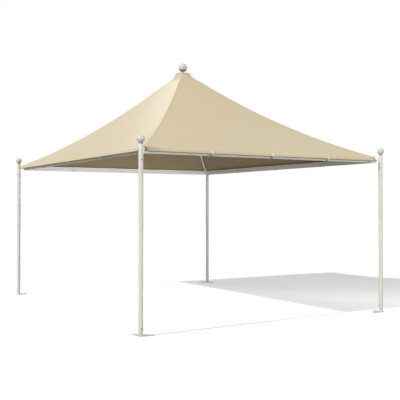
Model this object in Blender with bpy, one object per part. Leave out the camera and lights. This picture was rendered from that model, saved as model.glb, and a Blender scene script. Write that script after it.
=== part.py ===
"""Peaked garden gazebo: four round steel posts with ball tops, a ring of eaves beams, curved hip rafters
under a round crown, and a stretched fabric roof of four panels. Metres, +Z up, origin on the ground at
the centre of the plan. The front is -Y."""

import math

import bmesh
import bpy
from mathutils import Vector

# Plan and heights
POST_SPACING_X = 4.0
POST_SPACING_Y = 5.0
GAP = 0.0003

# Posts and feet
POST_RADIUS = 0.030
POST_WALL = 0.002
POST_TOP = 2.345
POST_SIDES = 24
PLATE_THICKNESS = 0.008
PLATE_LEG = 0.240
PLATE_OVERHANG = 0.038
PLATE_CORNER_RADIUS = 0.012
ANCHOR_HOLE_RADIUS = 0.006
ANCHOR_FROM_EDGE = 0.020
ANCHOR_FROM_TIP = 0.040
SPIGOT_WALL = 0.003
SPIGOT_HEIGHT = 0.140

# Ball tops of the posts
BALL_RADIUS = 0.050
BALL_CENTRE = 2.410
NECK_RADIUS = 0.015
CAP_THICKNESS = 0.005
PLUG_LENGTH = 0.050

# Eaves ring, measured inwards from the post's axis
RING_INSET = 0.046
BEAM_WIDTH = 0.040
BEAM_HEIGHT = 0.080
BEAM_TOP = 2.319
BEAM_WALL = 0.002
BEAM_CORNER_RADIUS = 0.004
SOCKET_SIZE = 0.070
SOCKET_WALL = 0.004
SOCKET_OUTER_CHAMFER = 0.012
SOCKET_INNER_CHAMFER = 0.028
SOCKET_TOP = 2.317
SLOT_FROM_POST = 0.0785
SLOT_WIDTH = 0.012
SLOT_BOTTOM = 2.262
SLOT_TOP = 2.308
BOSS_RADIUS = 0.008
BOSS_HEIGHT = 2.280

# Roof surface: height over the plan as a parabola from the eaves to the crown
EAVES_HEIGHT = 2.322
ROOF_RISE = 0.921
ROOF_CURVE = 0.591
PANEL_LIFT = 0.040
FABRIC = 0.004
# Hem: how far each row of it stands out from the ring, and its height
HEM = ((0.025, 2.3110), (0.047, 2.2940), (0.060, 2.2790), (0.065, 2.2680))
HEM_CUT = 0.064
CROWN_START = 0.090
PANEL_ROWS = 10
PANEL_COLUMNS = 10

# Hip rafters
RAFTER_RADIUS = 0.0175
RAFTER_WALL = 0.002
RAFTER_DROP = 0.0305
RAFTER_SIDES = 12
RAFTER_RINGS = 14

# Crown
HUB_INRADIUS = 0.066
HUB_WALL = 0.004
HUB_BOTTOM = 3.690
DISC_RADIUS = 0.1140
DISC_TOP = 3.790
DISC_WALL = 0.003
DISC_DEPTH = 0.020
DISC_SIDES = 32
SHOULDER = ((0.016, 0.0), (0.004, 0.003), (0.0, 0.011))
FLARE = ((0.30, 0.66), (0.65, 0.31), (1.0, 0.0))
CAP_EASE = 0.002
CAP_HOLE_RADIUS = 0.016
APEX_BALL_RADIUS = 0.071
APEX_BALL_CENTRE = 3.887
APEX_NECK_RADIUS = 0.013

# Hem clips
CLIP_WIDTH = 0.016
CLIP_THICKNESS = 0.003
CLIP_INNER_TOP = 2.270
CLIP_FRACTIONS = (0.25, 0.50, 0.75)

# Worked out from the dimensions above
HALF_X = POST_SPACING_X / 2
HALF_Y = POST_SPACING_Y / 2
RING_X = HALF_X - RING_INSET
RING_Y = HALF_Y - RING_INSET
BEAM_BOTTOM = BEAM_TOP - BEAM_HEIGHT
CORNERS = {
    "front_left": (-1, -1),
    "front_right": (1, -1),
    "back_right": (1, 1),
    "back_left": (-1, 1),
}
# Each side: its outward direction, the ring's reach that way, and half the ring's length along the side
SIDES = {
    "front": ((0, -1), RING_Y, RING_X),
    "right": ((1, 0), RING_X, RING_Y),
    "back": ((0, 1), RING_Y, RING_X),
    "left": ((-1, 0), RING_X, RING_Y),
}


def clear_scene():
    for old in list(bpy.data.objects):
        bpy.data.objects.remove(old, do_unlink=True)


def make_material(name, colour, roughness, metallic):
    """A Principled material with one colour, roughness and metallic value."""
    material = bpy.data.materials.new(name)
    material.use_nodes = True
    shader = material.node_tree.nodes["Principled BSDF"]
    shader.inputs["Base Color"].default_value = (*colour, 1.0)
    shader.inputs["Roughness"].default_value = roughness
    shader.inputs["Metallic"].default_value = metallic
    return material


def add_object(name, points, faces, material):
    """A mesh object from points and faces, with its faces turned outwards."""
    mesh = bpy.data.meshes.new(name)
    mesh.from_pydata([tuple(p) for p in points], [], faces)
    shell = bmesh.new()
    shell.from_mesh(mesh)
    bmesh.ops.recalc_face_normals(shell, faces=shell.faces)
    shell.to_mesh(mesh)
    shell.free()
    mesh.shade_smooth()
    mesh.set_sharp_from_angle(angle=math.radians(35))
    obj = bpy.data.objects.new(name, mesh)
    bpy.context.scene.collection.objects.link(obj)
    if material:
        mesh.materials.append(material)
    return obj


def loft(rings, close_ends):
    """Points and faces of a skin over rings of equal length. A lofted tube that has a hollow joins its last
    ring to its first, and a solid one gets a face over each end."""
    count = len(rings[0])
    points = [p for ring in rings for p in ring]
    faces = []
    spans = len(rings) - 1 if close_ends else len(rings)
    for i in range(spans):
        here, there = i * count, (i + 1) % len(rings) * count
        for j in range(count):
            k = (j + 1) % count
            faces.append((here + j, here + k, there + k, there + j))
    if close_ends:
        faces.append(tuple(range(count)))
        faces.append(tuple(range(len(points) - count, len(points))))
    return points, faces


def circle(radius, sides, x=0.0, y=0.0):
    """Points round a circle in plan, the first at +X."""
    angles = [2 * math.pi * i / sides for i in range(sides)]
    return [(x + radius * math.cos(a), y + radius * math.sin(a)) for a in angles]


def at_height(outline, z):
    return [(x, y, z) for x, y in outline]


def round_corners(outline, radius, steps):
    """The outline with each corner replaced by an arc of the given radius."""
    rounded = []
    for i, corner in enumerate(outline):
        here = Vector(corner)
        to_last = (Vector(outline[i - 1]) - here).normalized()
        to_next = (Vector(outline[(i + 1) % len(outline)]) - here).normalized()
        half_angle = to_last.angle(to_next) / 2
        centre = here + (to_last + to_next).normalized() * radius / math.sin(half_angle)
        start = here + to_last * radius / math.tan(half_angle) - centre
        end = here + to_next * radius / math.tan(half_angle) - centre
        for step in range(steps + 1):
            spoke = start.lerp(end, step / steps).normalized() * radius
            rounded.append(tuple(centre + spoke))
    return rounded


def prism(name, outline, bottom, top, material):
    """A solid with the same outline from bottom to top."""
    return add_object(name, *loft([at_height(outline, bottom), at_height(outline, top)], True), material)


def upright_tube(name, outer, inner, bottom, top, material):
    """A hollow upright with an outer and an inner outline of equal length, open at both ends."""
    rings = [
        at_height(outer, bottom),
        at_height(outer, top),
        at_height(inner, top),
        at_height(inner, bottom),
    ]
    return add_object(name, *loft(rings, False), material)


def turned(name, profile, sides, place, material):
    """A solid turned about the upright through place, from a profile of (radius, height) whose first and
    last points lie on the axis."""
    points = [(place[0], place[1], profile[0][1])]
    for radius, height in profile[1:-1]:
        points += at_height(circle(radius, sides, *place), height)
    points.append((place[0], place[1], profile[-1][1]))
    last = len(points) - 1
    faces = [(0, 1 + (j + 1) % sides, 1 + j) for j in range(sides)]
    for i in range(len(profile) - 3):
        low, high = 1 + i * sides, 1 + (i + 1) * sides
        for j in range(sides):
            k = (j + 1) % sides
            faces.append((low + j, low + k, high + k, high + j))
    top = last - sides
    faces += [(top + j, top + (j + 1) % sides, last) for j in range(sides)]
    return add_object(name, points, faces, material)


def combine(obj, other, operation):
    """Joins a tool to an object, or cuts it out, and puts the tool out of sight."""
    modifier = obj.modifiers.new(operation.lower(), "BOOLEAN")
    modifier.operation = operation
    modifier.solver = "EXACT"
    modifier.object = other
    other.hide_render = True
    other.display_type = "WIRE"


def roof_height(s):
    """Height of a hip at fraction s of the way from the centre to the eaves."""
    return EAVES_HEIGHT + ROOF_RISE * (1 - s) + ROOF_CURVE * (1 - s) ** 2


def ball_arc(centre, radius, start_radius, steps):
    """Profile of a ball from the neck's radius up to its top on the axis."""
    start = math.asin(start_radius / radius)
    angles = [start + (math.pi - start) * i / steps for i in range(steps + 1)]
    arc = [(radius * math.sin(a), centre - radius * math.cos(a)) for a in angles]
    arc[-1] = (0.0, centre + radius)
    return arc


def corner_point(corner, inward_x, inward_y):
    """The plan point that lies the given distances inwards from a post's axis."""
    sx, sy = corner
    return (sx * (HALF_X - inward_x), sy * (HALF_Y - inward_y))


def make_base_plate(name, corner, material):
    """A flat three-cornered plate under the post, with three anchor holes and a tube that the post
    slips over."""
    near = -PLATE_OVERHANG
    far = PLATE_LEG - PLATE_OVERHANG
    outline = round_corners([(near, near), (far, near), (near, far)], PLATE_CORNER_RADIUS, 3)
    outline = [corner_point(corner, *p) for p in outline]
    plate = prism(name, outline, 0.0, PLATE_THICKNESS, material)
    place = corner_point(corner, 0, 0)
    outer = POST_RADIUS - POST_WALL - GAP
    spigot = upright_tube(
        name + "_spigot",
        circle(outer, POST_SIDES, *place),
        circle(outer - SPIGOT_WALL, POST_SIDES, *place),
        PLATE_THICKNESS / 2,
        PLATE_THICKNESS + SPIGOT_HEIGHT,
        None,
    )
    combine(plate, spigot, "UNION")
    edge = near + ANCHOR_FROM_EDGE
    tip = far - ANCHOR_FROM_TIP
    middle = (PLATE_LEG - 2 * PLATE_OVERHANG) / 2 - ANCHOR_FROM_EDGE / 2
    for i, hole in enumerate([(tip, edge), (edge, tip), (middle, middle)]):
        ring = circle(ANCHOR_HOLE_RADIUS, 12, *corner_point(corner, *hole))
        cutter = prism(f"{name}_hole_{i}", ring, -PLATE_THICKNESS, 2 * PLATE_THICKNESS, None)
        combine(plate, cutter, "DIFFERENCE")


def make_post(name, corner, material):
    place = corner_point(corner, 0, 0)
    outer = circle(POST_RADIUS, POST_SIDES, *place)
    inner = circle(POST_RADIUS - POST_WALL, POST_SIDES, *place)
    upright_tube(name, outer, inner, PLATE_THICKNESS + GAP, POST_TOP, material)


def make_post_finial(name, corner, material):
    """A ball on a short neck and a round cap, with a plug that sits inside the post."""
    cap_bottom = POST_TOP + GAP
    cap_top = cap_bottom + CAP_THICKNESS
    plug_radius = POST_RADIUS - POST_WALL - GAP
    profile = [
        (0.0, POST_TOP - PLUG_LENGTH),
        (plug_radius, POST_TOP - PLUG_LENGTH),
        (plug_radius, cap_bottom),
        (POST_RADIUS, cap_bottom),
        (POST_RADIUS, cap_top),
        (NECK_RADIUS, cap_top),
    ]
    profile += ball_arc(BALL_CENTRE, BALL_RADIUS, NECK_RADIUS, 12)
    turned(name, profile, POST_SIDES, corner_point(corner, 0, 0), material)


def socket_outline(wall):
    """Plan of the corner socket in distances inwards from the post's axis, drawn in by a wall."""
    low = RING_INSET
    high = RING_INSET + SOCKET_SIZE
    outer, inner = SOCKET_OUTER_CHAMFER, SOCKET_INNER_CHAMFER
    shift = wall * math.tan(math.radians(22.5))
    return [
        (low + outer + shift, low + wall),
        (high - wall, low + wall),
        (high - wall, high - inner - shift),
        (high - inner - shift, high - wall),
        (low + wall, high - wall),
        (low + wall, low + outer + shift),
    ]


def make_corner_socket(name, corner, material):
    """An upright length of box section that joins two beams and a rafter, with a slot through each outer
    wall and a boss that the bolt runs through to the post."""
    outer = [corner_point(corner, *p) for p in socket_outline(0.0)]
    inner = [corner_point(corner, *p) for p in socket_outline(SOCKET_WALL)]
    socket = upright_tube(name, outer, inner, BEAM_BOTTOM, SOCKET_TOP, material)
    sx, sy = corner
    along = Vector((-sx, -sy, 0)).normalized()
    across = Vector((sy, -sx, 0)).normalized()
    centre = Vector((*corner_point(corner, 0, 0), BOSS_HEIGHT))
    face = (2 * RING_INSET + SOCKET_OUTER_CHAMFER) / math.sqrt(2)
    rings = []
    for reach in (POST_RADIUS + GAP, face + SOCKET_WALL / 2):
        middle = centre + along * reach
        rings.append([middle + across * a + Vector((0, 0, b)) for a, b in circle(BOSS_RADIUS, 12)])
    boss = add_object(name + "_boss", *loft(rings, True), None)
    combine(socket, boss, "UNION")
    near, far = SLOT_FROM_POST, SLOT_FROM_POST + SLOT_WIDTH
    outside, inside = RING_INSET - SOCKET_WALL, RING_INSET + 2 * SOCKET_WALL
    slot = [(near, outside), (far, outside), (far, inside), (near, inside)]
    for i, outline in enumerate((slot, [(y, x) for x, y in slot])):
        ring = [corner_point(corner, *p) for p in outline]
        combine(socket, prism(f"{name}_slot_{i}", ring, SLOT_BOTTOM, SLOT_TOP, None), "DIFFERENCE")


def make_eaves_beam(name, outward, material):
    """A rectangular tube along one side of the ring, between two corner sockets."""
    nx, ny = outward
    ring = RING_X if nx else RING_Y
    reach = (HALF_Y if nx else HALF_X) - RING_INSET - SOCKET_SIZE - GAP
    centre = ring - BEAM_WIDTH / 2
    middle = (BEAM_BOTTOM + BEAM_TOP) / 2
    sections = []
    for wall in (0.0, BEAM_WALL):
        a, b = BEAM_WIDTH / 2 - wall, BEAM_HEIGHT / 2 - wall
        corner_radius = BEAM_CORNER_RADIUS - wall
        sections.append(round_corners([(-a, -b), (a, -b), (a, b), (-a, b)], corner_radius, 3))
    rings = []
    for section, end in ((0, -reach), (0, reach), (1, reach), (1, -reach)):
        ring_points = []
        for out, up in sections[section]:
            n = centre + out
            ring_points.append((nx * n - ny * end, ny * n + nx * end, middle + up))
        rings.append(ring_points)
    add_object(name, *loft(rings, False), material)


def make_hip_rafter(name, corner, material):
    """A bent tube from the hub up under the crown down to the corner socket. Each ring of the mesh stands
    upright, parallel to the faces that the tube meets."""
    sx, sy = corner
    across = Vector((-sx, sy, 0)).normalized()
    chamfer = RING_INSET + SOCKET_SIZE - SOCKET_INNER_CHAMFER / 2
    end_x, end_y = HALF_X - chamfer, HALF_Y - chamfer
    first = (HUB_INRADIUS + GAP) * math.sqrt(2) / (end_x + end_y)
    last = 1 - GAP * math.sqrt(2) / (end_x + end_y)
    widest = max(end_x / RING_X, end_y / RING_Y)
    outer_rings, inner_rings = [], []
    for i in range(RAFTER_RINGS):
        t = first + (last - first) * i / (RAFTER_RINGS - 1)
        s = t * widest
        centre = Vector((sx * t * end_x, sy * t * end_y, roof_height(s) - RAFTER_DROP))
        slope = (ROOF_RISE + 2 * ROOF_CURVE * (1 - s)) * widest / math.hypot(end_x, end_y)
        stretch = math.hypot(1, slope)
        for rings, radius in ((outer_rings, RAFTER_RADIUS), (inner_rings, RAFTER_RADIUS - RAFTER_WALL)):
            ring = [centre + across * a + Vector((0, 0, b * stretch)) for a, b in circle(radius, RAFTER_SIDES)]
            rings.append(ring)
    add_object(name, *loft(outer_rings + inner_rings[::-1], False), material)


def make_crown_hub(material):
    """A short box section set cornerwise, with one flat face towards each rafter."""
    outlines = []
    for inradius in (HUB_INRADIUS, HUB_INRADIUS - HUB_WALL):
        reach = inradius * math.sqrt(2)
        outlines.append([(reach, 0), (0, reach), (-reach, 0), (0, -reach)])
    upright_tube("crown_hub", *outlines, HUB_BOTTOM, DISC_TOP - DISC_WALL - GAP, material)


def make_crown_disc(material):
    """A pressed dish, open downwards, with a rounded shoulder that the fabric is drawn over."""
    profile = [
        (0.0, DISC_TOP - DISC_WALL),
        (DISC_RADIUS - SHOULDER[0][0] - DISC_WALL / 2, DISC_TOP - DISC_WALL),
        (DISC_RADIUS - DISC_WALL, DISC_TOP - SHOULDER[2][1]),
        (DISC_RADIUS - DISC_WALL, DISC_TOP - DISC_DEPTH),
        (DISC_RADIUS, DISC_TOP - DISC_DEPTH),
    ]
    profile += [(DISC_RADIUS - inset, DISC_TOP - drop) for inset, drop in SHOULDER[::-1]]
    profile.append((0.0, DISC_TOP))
    turned("crown_disc", profile, DISC_SIDES, (0, 0), material)


def make_apex_finial(material):
    """The large ball over the crown, on a short neck that stands on the disc through the cap's hole."""
    foot = DISC_TOP + GAP
    profile = [(0.0, foot), (APEX_NECK_RADIUS, foot)]
    profile += ball_arc(APEX_BALL_CENTRE, APEX_BALL_RADIUS, APEX_NECK_RADIUS, 14)
    turned("apex_finial", profile, 28, (0, 0), material)


def crown_square():
    """Plan points round the panels' upper edge, eight to a side."""
    x, y = CROWN_START * RING_X, CROWN_START * RING_Y
    corners = [Vector((x, -y)), Vector((x, y)), Vector((-x, y)), Vector((-x, -y))]
    points = []
    for i, corner in enumerate(corners):
        points += [corner.lerp(corners[(i + 1) % 4], step / 8) for step in range(8)]
    return points


def make_crown_cap(material):
    """The round top of the roof fabric: a skin that goes from a circle over the disc to the straight upper
    edges of the four panels."""
    top = DISC_TOP + GAP + FABRIC
    bottom = roof_height(CROWN_START)
    shoulder = top - SHOULDER[2][1]
    radius = DISC_RADIUS + CAP_EASE + FABRIC
    # Each step: how far it has gone from the circle to the square, the circle's radius, the height
    steps = [(0.0, CAP_HOLE_RADIUS, top)]
    steps += [(0.0, radius - inset, top - drop) for inset, drop in SHOULDER]
    steps += [(blend, radius, bottom + rise * (shoulder - bottom)) for blend, rise in FLARE]
    outer, inner = [], []
    for rings, skin in ((outer, 0.0), (inner, FABRIC)):
        for blend, radius, height in steps:
            shrink = 0.0 if radius == CAP_HOLE_RADIUS else skin
            ring = []
            for corner in crown_square():
                round_point = corner.normalized() * (radius - shrink)
                x, y = round_point.lerp(corner, blend)
                ring.append((x, y, height - skin))
            rings.append(ring)
    add_object("crown_cap", *loft(outer + inner[::-1], False), material)


def skin_faces(rows, columns, short_rows):
    """Faces of a grid. The rows after the first long ones leave out the first and last column."""
    faces = []
    for i in range(rows - 1):
        edge = 1 if i >= rows - 1 - short_rows else 0
        for j in range(edge, columns - edge):
            a = i * (columns + 1) + j
            faces.append((a, a + 1, a + columns + 2, a + columns + 1))
    return faces


def thicken(upper, lower, faces):
    """Points and faces of the closed solid between two skins that share their faces."""
    used = sorted({i for face in faces for i in face})
    number = {old: new for new, old in enumerate(used)}
    top = [tuple(number[i] for i in face) for face in faces]
    count = len(used)
    points = [upper[i] for i in used] + [lower[i] for i in used]
    edges = {(face[i], face[(i + 1) % 4]) for face in top for i in range(4)}
    walls = [(b, a, a + count, b + count) for a, b in edges if (b, a) not in edges]
    bottom = [tuple(i + count for i in face[::-1]) for face in top]
    return points, top + bottom + sorted(walls)


def panel_row(s, reach, half_length):
    """Points across the panel at fraction s, as (along the eaves, outwards, height)."""
    half = s * half_length - GAP
    q = (s - CROWN_START) / (1 - CROWN_START)
    lift = PANEL_LIFT * 4 * q * (1 - q)
    row = []
    for i in range(PANEL_COLUMNS + 1):
        t = (i / PANEL_COLUMNS * 2 - 1)
        row.append((t * half, s * reach, roof_height(s) + lift * (1 - t * t)))
    return row


def make_canopy_panel(name, side, material):
    """One sewn panel of the roof: a thin skin from the crown to the eaves, then over the beam and down as a
    hem that stops short of the posts."""
    (nx, ny), reach, half_length = side
    start = CROWN_START + GAP
    fractions = [start + (1 - start) * i / PANEL_ROWS for i in range(PANEL_ROWS + 1)]
    upper = [p for s in fractions for p in panel_row(s, reach, half_length)]
    lower = [(along, out, z - FABRIC) for along, out, z in upper]
    # The hem's grid has its second and its last column but one at the hem's ends
    hem_half = half_length - HEM_CUT
    eaves = [along for along, _, _ in upper[-PANEL_COLUMNS - 1:]]
    inner = [-hem_half] + eaves[2:-2] + [hem_half]
    last = (0.0, EAVES_HEIGHT)
    for i in range(PANEL_COLUMNS + 1):
        k = len(upper) - PANEL_COLUMNS - 1 + i
        if 0 < i < PANEL_COLUMNS:
            upper[k] = (inner[i - 1], *upper[k][1:])
            lower[k] = (inner[i - 1], *lower[k][1:])
    for out, z in HEM:
        slope = Vector((out - last[0], z - last[1])).normalized() * FABRIC
        for along in [eaves[0]] + inner + [eaves[-1]]:
            upper.append((along, reach + out, z))
            lower.append((along, reach + out + slope.y, z - slope.x))
        last = (out, z)
    rows = PANEL_ROWS + 1 + len(HEM)
    faces = skin_faces(rows, PANEL_COLUMNS, len(HEM))
    top, under = [[(nx * o - ny * a, ny * o + nx * a, z) for a, o, z in skin] for skin in (upper, lower)]
    add_object(name, *thicken(top, under, faces), material)


def make_hem_clip(name, side, fraction, material):
    """A strap over the hem, under the beam and up its inner face, at a fraction of the side's length."""
    (nx, ny), reach, half_length = side
    under = BEAM_BOTTOM - GAP
    inside = reach - BEAM_WIDTH - GAP
    # The strap's inner side as (outwards, height), and which way its thickness goes from there
    path = [
        (reach + HEM[1][0] + GAP, HEM[1][1] + 4 * GAP, (0.6, 0.8)),
        (reach + HEM[2][0] + 4 * GAP, HEM[2][1] + GAP, (0.9, 0.4)),
        (reach + HEM[3][0] + 4 * GAP, HEM[3][1] - GAP, (1.0, -0.3)),
        (reach + GAP, under, (0.5, -1.0)),
        (inside, under, (-1.0, -1.0)),
        (inside, CLIP_INNER_TOP, (-1.0, 0.0)),
    ]
    inner = [(out, z) for out, z, _ in path]
    outer = [(out + a * CLIP_THICKNESS, z + b * CLIP_THICKNESS) for out, z, (a, b) in path]
    section = inner + outer[::-1]
    middle = (2 * fraction - 1) * half_length
    rings = []
    for along in (middle - CLIP_WIDTH / 2, middle + CLIP_WIDTH / 2):
        rings.append([(nx * out - ny * along, ny * out + nx * along, z) for out, z in section])
    add_object(name, *loft(rings, True), material)


def build():
    clear_scene()
    steel = make_material("champagne_powder_coat", (0.70, 0.67, 0.60), 0.38, 0.0)
    ball = make_material("ball_powder_coat", (0.66, 0.65, 0.60), 0.30, 0.0)
    grey = make_material("grey_powder_coat", (0.55, 0.55, 0.52), 0.42, 0.0)
    fabric = make_material("coated_polyester", (0.72, 0.62, 0.42), 0.55, 0.0)
    strap = make_material("strap_webbing", (0.78, 0.77, 0.74), 0.70, 0.0)
    for place, corner in CORNERS.items():
        make_base_plate("base_plate_" + place, corner, steel)
        make_post("post_" + place, corner, steel)
        make_post_finial("post_finial_" + place, corner, ball)
        make_corner_socket("corner_socket_" + place, corner, grey)
        make_hip_rafter("hip_rafter_" + place, corner, grey)
    for place, side in SIDES.items():
        make_eaves_beam("eaves_beam_" + place, side[0], grey)
        make_canopy_panel("canopy_panel_" + place, side, fabric)
        for number, fraction in enumerate(CLIP_FRACTIONS, 1):
            make_hem_clip(f"hem_clip_{place}_{number}", side, fraction, strap)
    make_crown_hub(grey)
    make_crown_disc(grey)
    make_crown_cap(fabric)
    make_apex_finial(ball)


build()
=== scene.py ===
import math

import bmesh
import bpy
import numpy as np
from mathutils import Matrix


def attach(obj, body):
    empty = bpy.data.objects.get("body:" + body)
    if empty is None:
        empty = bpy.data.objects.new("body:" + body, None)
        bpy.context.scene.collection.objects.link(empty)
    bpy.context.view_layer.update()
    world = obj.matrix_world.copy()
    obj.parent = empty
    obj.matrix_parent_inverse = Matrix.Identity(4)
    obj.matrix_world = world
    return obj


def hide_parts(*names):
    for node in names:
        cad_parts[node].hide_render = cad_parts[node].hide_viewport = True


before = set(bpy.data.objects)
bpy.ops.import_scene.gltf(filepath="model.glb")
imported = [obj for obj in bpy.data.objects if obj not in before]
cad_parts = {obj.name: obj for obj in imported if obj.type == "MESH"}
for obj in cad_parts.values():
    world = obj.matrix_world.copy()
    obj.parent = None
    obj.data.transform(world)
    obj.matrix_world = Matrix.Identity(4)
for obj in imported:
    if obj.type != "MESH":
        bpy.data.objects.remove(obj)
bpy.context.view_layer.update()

# Camera. A long lens at a standing person's eye height, level with the ground but for half a degree, near
# the front left post. No shift, roll or depth of field.
EYE = (-5.912, -10.469, 1.583)
EYE_YAW = math.radians(30.81)
EYE_PITCH = math.radians(0.51)
LENS = 65.26


def placed(name, data):
    """A new object in the scene."""
    made = bpy.data.objects.new(name, data)
    bpy.context.scene.collection.objects.link(made)
    return made


lens = bpy.data.cameras.new("studio_camera")
lens.lens = LENS
lens.sensor_width = 36.0
lens.clip_end = 200.0
camera = placed("studio_camera", lens)
camera.location = EYE
camera.rotation_euler = (math.radians(90) + EYE_PITCH, 0.0, -EYE_YAW)
bpy.context.scene.camera = camera
bpy.context.scene.view_settings.view_transform = "Standard"

# Studio. A pale seamless floor and four panels. The key is small and far off, high on the left, so that the
# posts' thin shadows stay crisp. A fill stands before the front, a narrow strip close to it shines in under
# the roof, and a panel behind the left side puts a sheen on the cloth. Stray light lifts the floor's shadows.
FLOOR_SIZE = 80.0
FLOOR_DROP = 0.0005
FLOOR_COLOUR = (0.69, 0.69, 0.694, 1.0)
FLOOR_LEAN = (-0.574, -0.05, 0.819)
GLOW_WAY = (0.73, 0.69, 0.0)
# Glow of the floor: metres along its way, strength
GLOW = ((-5.0, 0.28), (-2.5, 0.36), (-1.0, 0.44), (0.3, 0.50), (1.1, 0.53), (1.85, 0.468), (2.55, 0.364))
GLOW += ((3.25, 0.310), (5.5, 0.200), (6.2, 0.26), (7.5, 0.33), (10.0, 0.33), (20.0, 0.36))
BOUNCE_COLOUR = (0.28, 0.275, 0.26, 1.0)
PANELS = {
    # name: direction to the panel, its distance, width, height, power, colour, spread in degrees
    "key_panel": ((-3.6, -0.33, 2.27), 150.0, 2.8, 2.8, 135600.0, (1.0, 0.99, 0.96), 180.0),
    "front_panel": ((0.05, -1.0, -0.05), 18.0, 5.0, 1.5, 620.0, (1.0, 1.0, 1.0), 180.0),
    "opening_panel": ((0.0, -1.0, -0.08), 2.25, 3.0, 0.3, 11.0, (1.0, 1.0, 1.0), 70.0),
    "back_panel": ((0.19, 0.80, 0.62), 16.0, 4.0, 2.5, 78.0, (0.86, 0.93, 1.0), 180.0),
}
AIM = (0.0, 0.0, 1.9)
# Stray light: its colour, and the two rises of its direction with the two strengths that it has there
WORLD_GREY = (0.99, 0.995, 1.0, 1.0)
WORLD_REACH = (0.05, 0.60, 0.70, 0.76)


def feed(tree, made, values):
    """Gives input sockets their values by number or name. A value that is an output socket is linked, and
    any other is set."""
    for key, value in values.items():
        socket = made.inputs[key]
        if isinstance(value, bpy.types.NodeSocket):
            tree.links.new(value, socket)
        else:
            socket.default_value = value


def node(tree, kind, *inputs, **values):
    """A new shader node. The inputs go to its sockets in order, and each value to the property or socket of
    its name."""
    made = tree.nodes.new("ShaderNode" + kind)
    settings = [name for name in values if name in made.bl_rna.properties]
    for name in settings:
        setattr(made, name, values.pop(name))
    feed(tree, made, dict(enumerate(inputs)) | values)
    return made


def remap(tree, value, low, high, first=0.0, last=1.0):
    """Output of a value carried from one range to another and held inside it."""
    return node(tree, "MapRange", value, low, high, first, last).outputs["Result"]


def by_ray(tree, output, to_camera, to_others):
    """Ends a tree with one shader for the camera's rays and another for all the others."""
    rays = node(tree, "LightPath")
    seen = [rays.outputs["Is Camera Ray"], to_others.outputs[0], to_camera.outputs[0]]
    mixed = node(tree, "MixShader", *seen)
    node(tree, output, mixed.outputs["Shader"])


def studio_floor():
    """A square floor that is pale to the camera and dimmer to every other ray, so little light comes up
    from it under the roof. Its shading leans towards the key, which keeps the roof's shadow crisp. It glows
    as well, and the glow changes along one way across the floor: painted light that lifts the roof's shadow
    on the floor and evens out the lit floor."""
    half = FLOOR_SIZE / 2
    corners = [(x * half, y * half, -FLOOR_DROP) for x, y in ((-1, -1), (1, -1), (1, 1), (-1, 1))]
    mesh = bpy.data.meshes.new("studio_floor")
    mesh.from_pydata(corners, [], [(0, 1, 2, 3)])
    material = bpy.data.materials.new("studio_floor")
    material.use_nodes = True
    tree = material.node_tree
    tree.nodes.clear()
    lean = node(tree, "CombineXYZ", *FLOOR_LEAN)
    diffuse = node(tree, "BsdfDiffuse", Color=FLOOR_COLOUR, Normal=lean.outputs["Vector"])
    place = node(tree, "TexCoord")
    away = node(tree, "VectorMath", place.outputs["Object"], GLOW_WAY, operation="DOT_PRODUCT")
    start, end = GLOW[0][0], GLOW[-1][0]
    ramp = node(tree, "ValToRGB", remap(tree, away.outputs["Value"], start, end))
    stops = ramp.color_ramp.elements
    stops[0].color, stops[1].color = [(GLOW[i][1], GLOW[i][1], GLOW[i][1], 1.0) for i in (0, -1)]
    for metres, strength in GLOW[1:-1]:
        stops.new((metres - start) / (end - start)).color = (strength, strength, strength, 1.0)
    glow = node(tree, "Emission", Strength=ramp.outputs["Color"])
    paper = node(tree, "AddShader", diffuse.outputs["BSDF"], glow.outputs["Emission"])
    bounce = node(tree, "BsdfDiffuse", Color=BOUNCE_COLOUR)
    by_ray(tree, "OutputMaterial", paper, bounce)
    mesh.materials.append(material)
    placed("studio_floor", mesh)


def studio_panels():
    """A rectangular area light for each panel, turned to face the roof."""
    for name, (towards, distance, width, height, power, colour, spread) in PANELS.items():
        light = bpy.data.lights.new(name, "AREA")
        light.shape = "RECTANGLE"
        light.size = width
        light.size_y = height
        light.energy = power
        light.color = colour
        light.spread = math.radians(spread)
        lamp = placed(name, light)
        direction = np.array(towards) / np.linalg.norm(towards)
        lamp.location = np.array(AIM) + direction * distance
        across = math.hypot(direction[0], direction[1])
        lamp.rotation_euler = (math.atan2(across, direction[2]), 0.0, math.atan2(direction[0], -direction[1]))


def studio_world():
    """White to the camera. To every other ray it is grey, dim at the horizon and brighter overhead."""
    world = bpy.data.worlds.new("studio")
    bpy.context.scene.world = world
    world.use_nodes = True
    tree = world.node_tree
    tree.nodes.clear()
    way = node(tree, "SeparateXYZ", node(tree, "TexCoord").outputs["Generated"])
    rise = remap(tree, way.outputs["Z"], *WORLD_REACH)
    dim = node(tree, "Background", Color=WORLD_GREY, Strength=rise)
    white = node(tree, "Background", Color=(1.0, 1.0, 1.0, 1.0), Strength=1.0)
    by_ray(tree, "OutputWorld", white, dim)


studio_floor()
studio_panels()
studio_world()

# Feet. A three-cornered steel plate under each post, 8 mm thick with legs of 240 mm, and a short tube on it
# that the post slips over. Three open holes take ground anchors. It is powder coated a warm white, like the
# posts, and gathers dust from the ground.
HALF_X = 2.0
HALF_Y = 2.5
CORNERS = {"front_left": (-1, -1), "front_right": (1, -1), "back_right": (1, 1), "back_left": (-1, 1)}
PLATE_THICKNESS = 0.008
PLATE_OVERHANG = 0.038
PLATE_REACH = 0.202
PLATE_CORNER_RADIUS = 0.012
PLATE_EDGE = 0.0012
ANCHOR_HOLE_RADIUS = 0.006
ANCHOR_HOLES = ((0.162, -0.018), (-0.018, 0.162), (0.072, 0.072))
SPIGOT_RADIUS = 0.0277
SPIGOT_WALL = 0.003
SPIGOT_TOP = 0.148
TURN_STEPS = 64
JOIN_DISTANCE = 0.00002


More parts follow.
